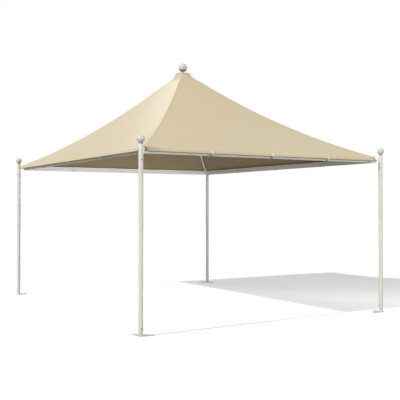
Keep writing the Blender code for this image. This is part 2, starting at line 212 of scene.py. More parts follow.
def new_group(name, inputs):
    """A node group that puts out a colour, a roughness and a height. Its inputs are named colours and
    numbers, each with the value that it has when none is given."""
    tree = bpy.data.node_groups.new(name, "ShaderNodeTree")
    for label, value in inputs.items():
        kind = "NodeSocketFloat" if isinstance(value, float) else "NodeSocketColor"
        tree.interface.new_socket(label, in_out="INPUT", socket_type=kind).default_value = value
    for label, kind in (("Color", "Color"), ("Roughness", "Float"), ("Height", "Float")):
        tree.interface.new_socket(label, in_out="OUTPUT", socket_type="NodeSocket" + kind)
    return tree, tree.nodes.new("NodeGroupInput").outputs, tree.nodes.new("NodeGroupOutput")


def noise(tree, scale, detail):
    """Output of a noise texture over the object's own coordinates."""
    place = node(tree, "TexCoord").outputs["Object"]
    return node(tree, "TexNoise", Vector=place, Scale=scale, Detail=detail).outputs["Fac"]


def blend(tree, share, first, second):
    """Output of a mix of two colours by a share."""
    return node(tree, "Mix", data_type="RGBA", Factor=share, A=first, B=second).outputs["Result"]


def math_steps(tree):
    """A function that adds one Math node and gives back its output."""
    return lambda work, *inputs: node(tree, "Math", *inputs, operation=work).outputs["Value"]


def powder_skin_group():
    """Orange peel, slow shade changes and dust for powder coat. The height is fine noise, the colour is the
    coat's own lightened or darkened by a slow noise and turned to dust near the ground."""
    inputs = {"Coat": (0.6, 0.6, 0.6, 1.0), "Dust": (0.42, 0.38, 0.32, 1.0)}
    inputs |= {"Roughness": 0.4, "Dust Height": 0.12}
    tree, given, out = new_group("powder_skin", inputs)
    step = math_steps(tree)
    peel, slow, specks = noise(tree, 420.0, 2.0), noise(tree, 3.1, 3.0), noise(tree, 38.0, 4.0)
    shade = remap(tree, slow, 0.3, 0.7, 0.965, 1.02)
    coat = node(tree, "VectorMath", given["Coat"], operation="SCALE", Scale=shade)
    place = node(tree, "TexCoord").outputs["Object"]
    height = node(tree, "SeparateXYZ", place).outputs["Z"]
    patchy = step("MULTIPLY", remap(tree, height, 0.0, given["Dust Height"], 0.30, 0.0), specks)
    dusty = blend(tree, patchy, coat.outputs["Vector"], given["Dust"])
    rough = step("MULTIPLY_ADD", specks, 0.08, given["Roughness"])
    feed(tree, out, {"Color": dusty, "Roughness": rough, "Height": peel})
    return tree


POWDER_SKIN = powder_skin_group()


def finish(name, make):
    """A material whose nodes are made by a function of its tree. That gives the bump's height, strength and
    distance, and values for the sockets of the Principled shader."""
    material = bpy.data.materials.new(name)
    material.use_nodes = True
    tree = material.node_tree
    (height, strength, distance), values = make(tree)
    bump = node(tree, "Bump", Height=height, Strength=strength, Distance=distance)
    feed(tree, tree.nodes["Principled BSDF"], values | {"Normal": bump.outputs["Normal"]})
    return material


def powder_coat(name, colour, roughness, dust_height):
    """Powder coat of one colour: the skin group in front of a Principled shader."""

    def make(tree):
        coat = node(tree, "Group", node_tree=POWDER_SKIN, Coat=(*colour, 1.0))
        feed(tree, coat, {"Roughness": roughness, "Dust Height": dust_height})
        values = {"Base Color": coat.outputs["Color"], "Roughness": coat.outputs["Roughness"]}
        return (coat.outputs["Height"], 0.10, 0.00008), values

    return finish(name, make)


WARM_WHITE = powder_coat("warm_white_powder_coat", (0.715, 0.695, 0.650), 0.34, 0.14)


def mesh_work(points, faces):
    """A bmesh of the given points and faces."""
    mesh = bpy.data.meshes.new("work")
    mesh.from_pydata(points.reshape(-1, 3).tolist(), [], faces)
    work = bmesh.new()
    work.from_mesh(mesh)
    bpy.data.meshes.remove(mesh)
    return work


def finish_mesh(name, work, material, sharp_angle=32.0):
    """Turns faces outwards and makes the finished piece. Edges that turn by more than the angle are sharp."""
    bmesh.ops.recalc_face_normals(work, faces=work.faces)
    mesh = bpy.data.meshes.new(name)
    work.to_mesh(mesh)
    work.free()
    mesh.shade_smooth()
    mesh.set_sharp_from_angle(angle=math.radians(sharp_angle))
    mesh.materials.append(material)
    made = placed(name, mesh)
    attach(made, "root")
    return made


def grid_cells(rows, columns, first):
    """The four corners of each cell of a grid, as numbers of its points counted row by row from first."""
    index = np.arange(rows * columns).reshape(rows, columns) + first
    return np.stack([index[:-1, :-1], index[1:, :-1], index[1:, 1:], index[:-1, 1:]], axis=-1)


def skin(name, grids, material, sharp_angle=32.0):
    """A piece from grids of points, each an array of rows by columns by three. Every cell of a grid is a
    face. Points that lie together are joined, which closes rings and poles."""
    points, faces, count = [], [], 0
    for grid in grids:
        faces.append(grid_cells(*grid.shape[:2], count).reshape(-1, 4))
        points.append(grid.reshape(-1, 3))
        count += len(points[-1])
    work = mesh_work(np.concatenate(points), np.concatenate(faces).tolist())
    bmesh.ops.remove_doubles(work, verts=work.verts, dist=JOIN_DISTANCE)
    return finish_mesh(name, work, material, sharp_angle)


def one_turn(steps):
    """Angles of one turn in even steps. The last is nought again, so that a ring closes exactly."""
    return np.append(np.linspace(0, 2 * np.pi, steps + 1)[:-1], 0.0)


def turned(profile, foot, direction=(0.0, 0.0, 1.0), steps=TURN_STEPS):
    """Grid of a profile of (radius, distance) turned round a line: foot + direction * distance + radius *
    (u * cos a + v * sin a), with a from 0 to one turn, and u and v square to the direction."""
    profile = np.array(profile)
    direction = np.array(direction) / np.linalg.norm(direction)
    u = np.array([1.0, 0.0, 0.0]) if abs(direction[2]) > 0.9 else np.array([0.0, 0.0, 1.0])
    v = np.cross(direction, u)
    v /= np.linalg.norm(v)
    u = np.cross(v, direction)
    a = one_turn(steps)
    ring = np.cos(a)[:, None] * u + np.sin(a)[:, None] * v
    return np.array(foot) + profile[:, 1, None, None] * direction + profile[:, 0, None, None] * ring


def arc(centre, radius, start, end, steps):
    """Points (radius from the axis, height) on an arc about centre, from one angle to another in degrees,
    0 pointing outwards and 90 up."""
    a = np.radians(np.linspace(start, end, steps + 1))
    return list(zip(centre[0] + radius * np.cos(a), centre[1] + radius * np.sin(a)))


def tube_profile(radius, wall, bottom, top, edge=0.0005):
    """Profile of a tube with a wall, its rims eased by a small radius. It ends where it starts."""
    outer, inner = radius, radius - wall
    profile = arc((outer - edge, bottom + edge), edge, -90, 0, 3)
    profile += arc((outer - edge, top - edge), edge, 0, 90, 3)
    profile += arc((inner + edge, top - edge), edge, 90, 180, 3)
    profile += arc((inner + edge, bottom + edge), edge, 180, 270, 3)
    return profile + profile[:1]


def at_corner(corner, inward_x, inward_y, z=0.0):
    """The point that lies the given distances inwards from a post's axis."""
    return (corner[0] * (HALF_X - inward_x), corner[1] * (HALF_Y - inward_y), z)


def rounded_outline(points, radius, steps):
    """Plan outline with each corner replaced by an arc of the radius that touches both of its sides."""
    points = np.array(points)
    outline = []
    for before, here, after in zip(np.roll(points, 1, axis=0), points, np.roll(points, -1, axis=0)):
        a = (before - here) / np.linalg.norm(before - here)
        b = (after - here) / np.linalg.norm(after - here)
        half = math.acos(np.clip(a @ b, -1, 1)) / 2
        centre = here + (a + b) / np.linalg.norm(a + b) * radius / math.sin(half)
        start = here + a * radius / math.tan(half) - centre
        end = here + b * radius / math.tan(half) - centre
        share = np.linspace(0, 1, steps + 1)[:, None]
        sweep = math.pi - 2 * half
        spokes = (np.sin((1 - share) * sweep) * start + np.sin(share * sweep) * end) / math.sin(sweep)
        outline.append(centre + spokes)
    return np.concatenate(outline)


def closed(loop):
    """A loop of points with its first one repeated at the end."""
    return np.concatenate([loop, loop[:1]])


def ease_edges(piece, width, angle):
    """Rounds the edges that turn by more than the angle in degrees."""
    ease = piece.modifiers.new("eased_edges", "BEVEL")
    ease.width = width
    ease.segments = 3
    ease.limit_method = "ANGLE"
    ease.angle_limit = math.radians(angle)


def foot_plate(name, corner):
    """The plate's outline and its round holes, filled and given the plate's thickness, with its edges eased.
    The short tube stands on it."""
    near, far = -PLATE_OVERHANG, PLATE_REACH
    loops = [rounded_outline([(near, near), (far, near), (near, far)], PLATE_CORNER_RADIUS, 12)]
    a = one_turn(32)[:-1]
    circle = np.stack([np.cos(a), np.sin(a)], axis=1) * ANCHOR_HOLE_RADIUS
    loops += [circle + np.array(hole) for hole in ANCHOR_HOLES]
    work = bmesh.new()
    for loop in loops:
        ring = [work.verts.new(at_corner(corner, x, y, PLATE_THICKNESS)) for x, y in loop]
        for here, there in zip(ring, ring[1:] + ring[:1]):
            work.edges.new((here, there))
    bmesh.ops.triangle_fill(work, edges=work.edges[:], use_beauty=True)
    lower = bmesh.ops.extrude_face_region(work, geom=work.faces[:])["geom"]
    moved = [item for item in lower if isinstance(item, bmesh.types.BMVert)]
    bmesh.ops.translate(work, verts=moved, vec=(0.0, 0.0, -PLATE_THICKNESS))
    plate = finish_mesh(name, work, WARM_WHITE)
    ease_edges(plate, PLATE_EDGE, 50)
    return plate


profile = tube_profile(SPIGOT_RADIUS, SPIGOT_WALL, PLATE_THICKNESS, SPIGOT_TOP)
for place, corner in CORNERS.items():
    plate = foot_plate("foot_plate_" + place, corner)
    spigot = skin("foot_tube_" + place, [turned(profile, at_corner(corner, 0, 0))], WARM_WHITE)
    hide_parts("base_plate_" + place)
    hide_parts("base_plate_" + place)

# Posts. Round steel tube, 60 mm across with a 2 mm wall, powder coated a warm white. A dark steel bolt goes
# through each one and the tube in its foot, and one near the top holds the ring's fixing inside it.
POST_RADIUS = 0.030
POST_WALL = 0.002
POST_BOTTOM = 0.0083
POST_TOP = 2.345
POST_BOLT_HEIGHTS = (0.097, 2.155)
# Across the head's corners, the head's height, the washer's radius
POST_BOLT = (0.0150, 0.0045, 0.0085)
POST_BOLT_SUNK = 0.0006


def bright_steel(name, clean, stained, metallic):
    """Steel with fine turning marks, between a clean and a stained colour as noise says."""

    def make(tree):
        stain = noise(tree, 70.0, 3.0)
        tone = blend(tree, stain, (*clean, 1.0), (*stained, 1.0))
        rough = remap(tree, stain, 0.0, 1.0, 0.22, 0.46)
        values = {"Base Color": tone, "Roughness": rough, "Metallic": metallic}
        return (noise(tree, 900.0, 2.0), 0.2, 0.00005), values

    return finish(name, make)


DARK_STEEL = bright_steel("dark_steel", (0.15, 0.145, 0.14), (0.09, 0.085, 0.08), 0.4)


def hex_bolt(foot, direction, across, height, washer_radius, washer_thickness=0.0015, stub=0.0):
    """Grids of a washer and a six-sided head on it, standing at foot along direction. across is the width
    across the head's corners. A stub longer than nought is the end of the thread that shows beyond a nut."""
    rim, top = 0.0004, washer_thickness + height
    washer = [(0.0, 0.0), (washer_radius, 0.0)]
    washer += arc((washer_radius - rim, washer_thickness - rim), rim, 0, 90, 2) + [(0.0, washer_thickness)]
    r = across / 2
    head = [(0.0, washer_thickness), (r, washer_thickness), (r, top - 0.0010), (r - 0.0022, top), (0.0, top)]
    grids = [turned(washer, foot, direction, 24), turned(head, foot, direction, 6)]
    if stub:
        thread = [(0.0, top), (r * 0.52, top), (r * 0.52, top + stub - 0.0008), (r * 0.45, top + stub)]
        grids.append(turned(thread + [(0.0, top + stub)], foot, direction, 20))
    return grids


def post_bolts(corner, along_x):
    """Grids of the through bolts' low heads, one on each side of the post at each height."""
    outward = np.array([corner[0], 0.0, 0.0]) if along_x else np.array([0.0, corner[1], 0.0])
    grids = []
    for z in POST_BOLT_HEIGHTS:
        centre = np.array(at_corner(corner, 0, 0, z))
        for way in (outward, -outward):
            grids += hex_bolt(centre + way * (POST_RADIUS - POST_BOLT_SUNK), way, *POST_BOLT)
    return grids


profile = tube_profile(POST_RADIUS, POST_WALL, POST_BOTTOM, POST_TOP)
heights = np.linspace(POST_BOTTOM, POST_TOP, 25)[1:-1]
profile = profile[:4] + [(POST_RADIUS, z) for z in heights] + profile[4:]
for place, corner in CORNERS.items():
    post = skin("round_post_" + place, [turned(profile, at_corner(corner, 0, 0))], WARM_WHITE)
    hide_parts("post_" + place)
    skin("post_bolts_" + place, post_bolts(corner, corner[0] * corner[1] < 0), DARK_STEEL)

# Ball tops. A hollow ball 100 mm across on a short neck and a round cap, with a plug that sits inside the
# post. Spun and welded steel, powder coated a little greyer than the posts. A sleeve of grey rubber
# under each ball is painted shade, a dark piece that stands in for the shade under the ball.
BALL_RADIUS = 0.050
BALL_CENTRE = 2.410
NECK_RADIUS = 0.015
CAP_BOTTOM = 2.3453
CAP_TOP = 2.3503
CAP_EDGES = (0.001, 0.002)
# The grey rubber sleeve of painted shade under each ball: its radius, bore, eased edge and clearance
SHADE_RUBBER_RADIUS = 0.0245
SHADE_RUBBER_BORE = 0.0024
SHADE_RUBBER_EDGE = 0.0006
SHADE_RUBBER_CLEAR = 0.0004
PLUG_BOTTOM = 2.295
PLUG_RADIUS = 0.0277
BALL_COAT = powder_coat("ball_powder_coat_fine", (0.62, 0.605, 0.575), 0.36, 0.01)


def shade_grey_rubber(tree):
    """Matt grey rubber for the dark pieces of painted shade under the balls, paler by chalking where noise is
    high.
    """
    chalk = noise(tree, 160.0, 4.0)
    tone = blend(tree, chalk, (0.24, 0.235, 0.225, 1.0), (0.31, 0.305, 0.29, 1.0))
    return (chalk, 0.3, 0.0002), {"Base Color": tone, "Roughness": 0.75}


SHADE_RUBBER = finish("shade_grey_rubber", shade_grey_rubber)


def ball_profile(neck, foot, radius, centre, steps):
    """Profile of a neck that flares into a ball: a hollow fillet at its foot, then the ball's arc from
    where the neck meets it up to the top."""
    start = math.degrees(math.asin(neck / radius)) - 90
    fillet = 0.002
    flare = arc((neck + fillet, foot + fillet), fillet, 270, 180, 4)
    ball = arc((0.0, centre), radius, start, 90, steps)
    ball[-1] = (0.0, centre + radius)
    return flare + ball


low, high = CAP_EDGES
profile = [(0.0, PLUG_BOTTOM), (PLUG_RADIUS - low, PLUG_BOTTOM), (PLUG_RADIUS, PLUG_BOTTOM + low)]
profile += [(PLUG_RADIUS, CAP_BOTTOM)] + arc((POST_RADIUS - low, CAP_BOTTOM + low), low, -90, 0, 3)
profile += arc((POST_RADIUS - high, CAP_TOP - high), high, 0, 90, 5)
profile += ball_profile(NECK_RADIUS, CAP_TOP, BALL_RADIUS, BALL_CENTRE, 36)
# The sleeve of painted shade is flat below and cut to the ball above, where it stays just clear of it
foot, inner, rim = CAP_TOP + 0.0003, NECK_RADIUS + SHADE_RUBBER_BORE, SHADE_RUBBER_RADIUS - 0.0010
at_rim, at_bore = [BALL_CENTRE - math.sqrt(BALL_RADIUS**2 - r**2) - SHADE_RUBBER_CLEAR for r in (rim, inner)]
shade_sleeve = [(inner, foot), (SHADE_RUBBER_RADIUS - SHADE_RUBBER_EDGE, foot), (SHADE_RUBBER_RADIUS, foot + SHADE_RUBBER_EDGE)]
shade_sleeve += [(SHADE_RUBBER_RADIUS, at_rim - SHADE_RUBBER_CLEAR), (rim, at_rim), (inner, at_bore), (inner, foot)]
for place, corner in CORNERS.items():
    top = at_corner(corner, 0, 0)
    ball = skin("ball_top_" + place, [turned(profile, top)], BALL_COAT, 40.0)
    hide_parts("post_finial_" + place)
    # A dark sleeve of painted shade under each ball
    skin("ball_shade_sleeve_" + place, [turned(shade_sleeve, top)], SHADE_RUBBER, 40.0)

# Eaves ring. Four rectangular tubes, 80 by 40 mm with a 2 mm wall, between upright corner sockets of box
# section with a slot in each outer wall. A bolt holds each socket to its post. Light grey powder coat.
RING = (1.954, 2.454)
BEAM_WIDTH = 0.040
BEAM_BOTTOM = 2.239
BEAM_TOP = 2.319
BEAM_WALL = 0.002
BEAM_CORNER_RADIUS = 0.004
SOCKET_REACH = 0.1163
SOCKET_NEAR = 0.046
SOCKET_TOP = 2.317
SOCKET_WALL = 0.004
SOCKET_OUTER_CHAMFER = 0.012
SOCKET_INNER_CHAMFER = 0.028
SOCKET_EDGE = 0.0008
SLOT = (0.0785, 0.0905)
SLOT_BOTTOM = 2.262
SLOT_TOP = 2.308
BOLT_HEIGHT = 2.280
BOLT_RADIUS = 0.005
RING_GAP = 0.0003
LIGHT_GREY = powder_coat("light_grey_powder_coat", (0.93, 0.935, 0.925), 0.38, 0.02)
# Each side: the axis that points outwards, and which way
SIDES = {"front": (1, -1), "right": (0, 1), "back": (1, 1), "left": (0, -1)}


def on_side(side, along, out, z):
    """Points from distances along a side of the ring, outwards from the centre, and up. Along runs to the
    right for someone who faces that side from outside."""
    axis, sign = SIDES[side]
    along, out, z = np.broadcast_arrays(along, out, z)
    if axis == 0:
        return np.stack([sign * out, sign * along, z], axis=-1)
    return np.stack([-sign * along, sign * out, z], axis=-1)


def reach_and_half(side):
    """How far out a side of the ring's outline lies from the centre, and half its length."""
    axis = SIDES[side][0]
    return RING[axis], RING[1 - axis]


def eaves_beam(side):
    """Grid of a rectangular tube: its outer section from one end to the other, then the inner one back."""
    axis = SIDES[side][0]
    end = (HALF_Y if axis == 0 else HALF_X) - SOCKET_REACH
    rows = []
    for wall, at in ((0.0, -end), (0.0, end), (BEAM_WALL, end), (BEAM_WALL, -end)):
        a, b = BEAM_WIDTH / 2 - wall, (BEAM_TOP - BEAM_BOTTOM) / 2 - wall
        corners = [(-a, -b), (a, -b), (a, b), (-a, b)]
        section = closed(rounded_outline(corners, BEAM_CORNER_RADIUS - wall, 6))
        out = RING[axis] - BEAM_WIDTH / 2 + section[:, 0]
        rows.append(on_side(side, at, out, (BEAM_TOP + BEAM_BOTTOM) / 2 + section[:, 1]))
    return closed(np.array(rows))


def corner_socket(name, corner):
    """A length of six-sided box section with a slot through each of its two outer walls. Outer and inner
    wall are grids over the outline and four heights, the slots' cells are left out and edged, and two rings
    close the ends."""
    near, far = SOCKET_NEAR, SOCKET_REACH - RING_GAP
    walls = []
    for wall in (0.0, SOCKET_WALL):
        low, high = near + wall, far - wall
        bend = wall * math.tan(math.pi / 8)
        outer, inner = near + SOCKET_OUTER_CHAMFER + bend, far - SOCKET_INNER_CHAMFER - bend
        outline = [(outer, low), (SLOT[0], low), (SLOT[1], low), (high, low), (high, inner), (inner, high)]
        outline += [(low, high), (low, SLOT[1]), (low, SLOT[0]), (low, outer)]
        for z in (BEAM_BOTTOM, SLOT_BOTTOM, SLOT_TOP, SOCKET_TOP):
            walls.append([at_corner(corner, x, y, z) for x, y in outline])
    points = np.array(walls)
    count = points.shape[1]
    index = np.arange(8 * count).reshape(2, 4, count).tolist()
    # The cells between the slots' edges, numbered along the outline
    slotted = (1, 7)
    faces = []
    for k in range(count):
        m = (k + 1) % count
        for row in range(3):
            if row == 1 and k in slotted:
                for p, q in (((1, k), (1, m)), ((1, m), (2, m)), ((2, m), (2, k)), ((2, k), (1, k))):
                    faces.append([index[w][r][n] for w, (r, n) in ((0, p), (0, q), (1, q), (1, p))])
                continue
            for wall in index:
                faces.append([wall[row][k], wall[row][m], wall[row + 1][m], wall[row + 1][k]])
        for row in (0, 3):
            faces.append([index[0][row][k], index[0][row][m], index[1][row][m], index[1][row][k]])
    socket = finish_mesh(name, mesh_work(points, faces), LIGHT_GREY)
    ease_edges(socket, SOCKET_EDGE, 30)
    return socket


reach = (2 * SOCKET_NEAR + SOCKET_OUTER_CHAMFER) / math.sqrt(2) - POST_RADIUS - 2 * RING_GAP
shank = [(0.0, 0.0), (BOLT_RADIUS, 0.0), (BOLT_RADIUS, reach), (0.0, reach)]
for place, corner in CORNERS.items():
    socket = corner_socket("ring_socket_" + place, corner)
    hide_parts("corner_socket_" + place)
    inward = np.array([-corner[0], -corner[1], 0.0]) / math.sqrt(2)
    start = np.array(at_corner(corner, 0, 0, BOLT_HEIGHT)) + inward * (POST_RADIUS + RING_GAP)
    bolt = skin("ring_bolt_" + place, [turned(shank, start, inward, 24)], BALL_COAT)
for side in SIDES:
    beam = skin("eaves_tube_" + side, [eaves_beam(side)], LIGHT_GREY, 25.0)
    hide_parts("eaves_beam_" + side)

# Hip rafters. Four bent round tubes, 35 mm, from the crown hub down to the corner sockets, welded at both
# ends. They follow the roof's own curve, 30 mm under it.
EAVES_HEIGHT = 2.322
ROOF_RISE = 0.921
ROOF_CURVE = 0.591
RAFTER_END = (1.898, 2.398)
RAFTER_RADIUS = 0.0175
RAFTER_WALL = 0.002
RAFTER_DROP = 0.0305
# The tube's two ends, as shares of the way from the middle to RAFTER_END
RAFTER_FIRST = 0.02173
RAFTER_LAST = 0.9999
RAFTER_ROWS = 70
WELD_RADIUS = 0.0028
WELD_STANDS = 0.0004


def hip_height(s):
    """Height of the hip: the eaves' height, a rise in proportion to 1 - s, and a curve in its square."""
    return EAVES_HEIGHT + ROOF_RISE * (1 - s) + ROOF_CURVE * (1 - s) ** 2


def hip_rafter(corner):
    """Grids of a bent tube and the weld beads at its ends. Each section of the tube stands upright: a circle
    stretched in height by the square root of one plus the slope squared."""
    t = np.linspace(RAFTER_FIRST, RAFTER_LAST, RAFTER_ROWS)
    s = t * RAFTER_END[0] / RING[0]
    plan = t[:, None] * np.array(corner) * np.array(RAFTER_END)
    centre = np.column_stack([plan, hip_height(s) - RAFTER_DROP])
    slope = (ROOF_RISE + 2 * ROOF_CURVE * (1 - s)) / math.hypot(*RING)
    stretch = np.hypot(1, slope)
    across = np.array([-corner[0], corner[1], 0.0]) / math.sqrt(2)
    inward = np.array([-corner[0], -corner[1], 0.0]) / math.sqrt(2)
    a, b = one_turn(36), one_turn(12)

    def rings(radius):
        sideways = radius * np.cos(a)[None, :, None] * across
        upright = (radius * np.sin(a)[None, :] * stretch[:, None])[..., None] * np.array([0.0, 0.0, 1.0])
        return centre[:, None, :] + sideways + upright

    outer = rings(RAFTER_RADIUS)
    grids = [np.concatenate([outer, rings(RAFTER_RADIUS - RAFTER_WALL)[::-1], outer[:1]])]
    for row, away in ((0, -1.0), (RAFTER_ROWS - 1, 1.0)):
        spoke = outer[row] - centre[row]
        spoke /= np.linalg.norm(spoke, axis=1, keepdims=True)
        bead = np.cos(b)[:, None, None] * spoke + np.sin(b)[:, None, None] * inward
        grids.append(outer[row] + WELD_RADIUS * bead + inward * away * WELD_STANDS)
    return grids


for place, corner in CORNERS.items():
    tube, *beads = hip_rafter(corner)
    rafter = skin("hip_tube_" + place, [tube], LIGHT_GREY, 40.0)
    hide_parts("hip_rafter_" + place)
    weld = skin("rafter_welds_" + place, beads, LIGHT_GREY, 60.0)

# Crown. A short square tube that the rafters are welded to, turned so that each meets a flat side, and on it
# a domed steel dish with a rounded shoulder for the fabric. A nut and a washer hold the apex ball's bolt.
HUB_INRADIUS = 0.066
HUB_WALL = 0.004
HUB_BOTTOM = 3.690
HUB_CLEAR = 0.0004
DISC_RADIUS = 0.114
DISC_TOP = 3.790
DISC_WALL = 0.003
DISC_DEPTH = 0.024
# The shoulder: its outer radius, and how far its centre lies below the top
DISC_SHOULDER = (0.013, 0.0218)
# Across the nut's corners, its height, the washer's radius and thickness, and the thread that shows
APEX_NUT = (0.028, 0.012, 0.020, 0.003, 0.012)
crest = [(0.100, 0.0088), (0.090, 0.0070), (0.070, 0.0041), (0.045, 0.0018), (0.020, 0.0004), (0.0, 0.0)]
under = [(r * 0.97, DISC_TOP - DISC_WALL - drop) for r, drop in reversed(crest)]
shoulder = (DISC_RADIUS - DISC_SHOULDER[0], DISC_TOP - DISC_SHOULDER[1])
profile = under + arc(shoulder, DISC_SHOULDER[0] - DISC_WALL, 80, 0, 8)
profile += [(DISC_RADIUS - DISC_WALL, DISC_TOP - DISC_DEPTH), (DISC_RADIUS, DISC_TOP - DISC_DEPTH)]
profile += arc(shoulder, DISC_SHOULDER[0], 0, 84, 10)
profile += [(r, DISC_TOP - drop) for r, drop in crest]
disc = skin("crown_dish", [turned(profile, (0, 0, 0), steps=96)], LIGHT_GREY, 40.0)
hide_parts("crown_disc")
STAINLESS = bright_steel("stainless_steel", (0.60, 0.59, 0.57), (0.42, 0.41, 0.39), 1.0)
skin("apex_nut", hex_bolt((0, 0, DISC_TOP - DISC_WALL), (0, 0, -1), *APEX_NUT), STAINLESS)


def hub_ring(inradius, z):
    """Loop round a square that stands on its corner: points along each side, short of the corners. With no z
    given, each point reaches up to the dish's underside at its own distance from the middle."""
    corners = inradius * math.sqrt(2) * np.array([(1, 0), (0, 1), (-1, 0), (0, -1), (1, 0)])
    along = np.linspace(0.03, 0.97, 14)[None, :, None]
    plan = (corners[:-1, None] * (1 - along) + corners[1:, None] * along).reshape(-1, 2)
    if z is None:
        z = np.interp(np.hypot(*plan.T), *np.array(under).T) - HUB_CLEAR
    return closed(np.column_stack([plan, np.full(len(plan), z)]))


inner = HUB_INRADIUS - HUB_WALL
rings = [hub_ring(inner, HUB_BOTTOM), hub_ring(HUB_INRADIUS, HUB_BOTTOM), hub_ring(HUB_INRADIUS, None)]
rings += [hub_ring(inner, None), hub_ring(inner, HUB_BOTTOM)]
hub = skin("crown_tube", [np.array(rings)], LIGHT_GREY, 30.0)
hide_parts("crown_hub")

# Roof. One sewn cover of sand-coloured coated polyester, drawn over the crown and the four hip rafters and
# down over the eaves ring. Four panels meet in seams on the hips, a welt goes round the crown, and a hem
# with a bound, rolled edge runs along each side between the posts. The binding's dark brown on the welt and
# the hem's edge is partly painted shade.
PANEL_LIFT = 0.040
CROWN_START = 0.090
CROWN_TOP = 3.7943
CROWN_RADIUS = 0.120
CROWN_HOLE = 0.0155
# The welt round the crown's shoulder: its middle from the axis and below the top, its radius, its rows
WELT_AT = (0.1149, 0.0152)
WELT_RADIUS = 0.0046
WELT_ROWS = range(6, 14)
# The cover between the welt and the panels: steps, and the powers by which it spreads and falls
SKIRT = (14, 1.15, 1.22)
# Where each hem stops short of the ring's corners, at its two ends
HEM_CUTS = {"front": (0.038, 0.056), "right": (0.056, 0.056), "back": (0.056, 0.056), "left": (0.090, 0.012)}
# Width of the dark brown binding at the hem's edge, whose darkness is partly painted shade
SHADED_BINDING_WIDTH = 0.0195
HEM_PROFILE = ((0.012, 2.3170), (0.025, 2.3110), (0.037, 2.3035), (0.047, 2.2940), (0.054, 2.2868))
HEM_PROFILE += ((0.060, 2.2780), (0.0632, 2.2712), (0.065, 2.2640), (0.0652, 2.2600), (0.0635, 2.2570))
HEM_PROFILE += ((0.0604, 2.2562), (0.0579, 2.2579), (0.0572, 2.2609), (0.0586, 2.2637))
HEM_LIFT = 0.0025
CLIP_FRACTIONS = (0.25, 0.50, 0.75)
# Pull creases at a clip and at a hem's end: their height, the folds in their fan, and how far they reach
CLIP_CREASES = (0.0013, 9.0, 0.16)
END_CREASES = (0.0024, 7.0, 0.24)
CREASE_FOOT = 0.02
FABRIC = 0.0012
ROOF_ROWS = 120
SEAM_STEPS = (0.0, 0.0016, 0.0034, 0.012, 0.0195, 0.0215, 0.0235)
SEAM_RAISE = 0.0012
PANEL_STEPS = 60


def creases(side, along, up_slope, half_length):
    """Pull creases that fan out from each clip and from each end of the hem: a cosine of the angle round the
    point, under a bell over the distance from it."""
    fan = np.zeros(np.broadcast_shapes(along.shape, up_slope.shape))
    points = [((2 * f - 1) * half_length, *CLIP_CREASES) for f in CLIP_FRACTIONS]
    points += [(sign * (half_length - cut), *END_CREASES) for sign, cut in zip((-1, 1), HEM_CUTS[side])]
    for centre, size, folds, spread in points:
        away = np.hypot(along - centre, up_slope + CREASE_FOOT)
        angle = np.arctan2(up_slope + CREASE_FOOT, along - centre)
        bell = np.exp(-((away / spread) ** 2)) * np.clip(away / 0.05, 0, 1)
        fan = fan + size * bell * np.cos(folds * angle)
    return fan * np.clip(up_slope / 0.03, 0, 1)


def roof_panel(side, reach, half_length):
    """One side of the roof as a grid. Rows run out from the crown, columns along the side. The height is the
    hip's, lifted in the middle of the panel by 4 q (1 - q) (1 - t squared), with q along the slope and t
    across it. Returns distances along, outwards and up, and the distance to the hip."""
    even = np.linspace(0.0, 1.0, ROOF_ROWS)
    s = CROWN_START + (1 - CROWN_START) * even
    half = s * half_length
    steps = np.array(SEAM_STEPS)
    middle = np.linspace(-1, 1, PANEL_STEPS + 1)
    left = -half[:, None] + steps[None, :-1]
    inner = (half - steps[-1])[:, None] * middle[None, :]
    right = half[:, None] - steps[None, -2::-1]
    along = np.concatenate([left, inner, right], axis=1)
    t = along / half[:, None]
    q = even[:, None]
    height = hip_height(s)[:, None] + PANEL_LIFT * 4 * q * (1 - q) * (1 - t**2)
    # The seam on the hip: an overlap raised by the cloth's own thickness, with a soft edge
    away = (1 - np.abs(t)) * half[:, None]
    overlap = np.clip((SEAM_STEPS[-1] - away) / 0.003, 0, 1) * np.clip(away / 0.002, 0.35, 1)
    height = height + SEAM_RAISE * overlap * np.clip((s[:, None] - CROWN_START) / 0.03, 0, 1)
    height = height + creases(side, along, (1 - s)[:, None] * reach, half_length)
    out = np.repeat((s * reach)[:, None], along.shape[1], axis=1)
    return along, out, height, away


def crown_rows(along, out, height):
    """Rows above the panels: from a circle round the neck's hole over the shoulder, blending into the first
    row of the panel by its direction from the centre."""
    first = np.stack([along[0], out[0]], axis=1)
    unit = first / np.linalg.norm(first, axis=1, keepdims=True)
    welt = [(r, -z) for r, z in arc((WELT_AT[0], -WELT_AT[1]), WELT_RADIUS, 128, -52, len(WELT_ROWS))]
    shoulder = [(CROWN_HOLE, 0.0015), (0.045, 0.0032), (0.075, 0.0062), (0.095, 0.0093), (0.105, 0.0109)]
    shoulder += [(0.1100, 0.0127)] + welt + [(0.1188, 0.0208), (CROWN_RADIUS, 0.0235)]
    rows = [np.column_stack([unit * r, np.full(len(unit), CROWN_TOP - drop)]) for r, drop in shoulder]
    top, (steps, spread, fall) = CROWN_TOP - shoulder[-1][1], SKIRT
    for step in np.arange(1, steps) / steps:
        plan = unit * CROWN_RADIUS * (1 - step**spread) + first * step**spread
        rows.append(np.column_stack([plan, top + (height[0] - top) * (1 - (1 - step) ** fall)]))
    return np.array(rows)


def hem_rows(ends, along, reach, half_length):
    """Rows below the eaves: the hem's profile carried along the side between its two ends, a little higher
    between the clips, where nothing holds it down."""
    edge = np.clip(along, *ends)
    fraction = (edge / half_length + 1) / 2
    between = np.abs(np.sin(np.pi * fraction * 4)) * (edge > ends[0]) * (edge < ends[1])
    rows = []
    for (stand, z), down in zip(HEM_PROFILE, np.linspace(0, 1, len(HEM_PROFILE))):
        out, height = np.full_like(edge, reach + stand), z + HEM_LIFT * down**2 * between
        rows.append(np.column_stack([edge, out, height]))
    return np.array(rows)


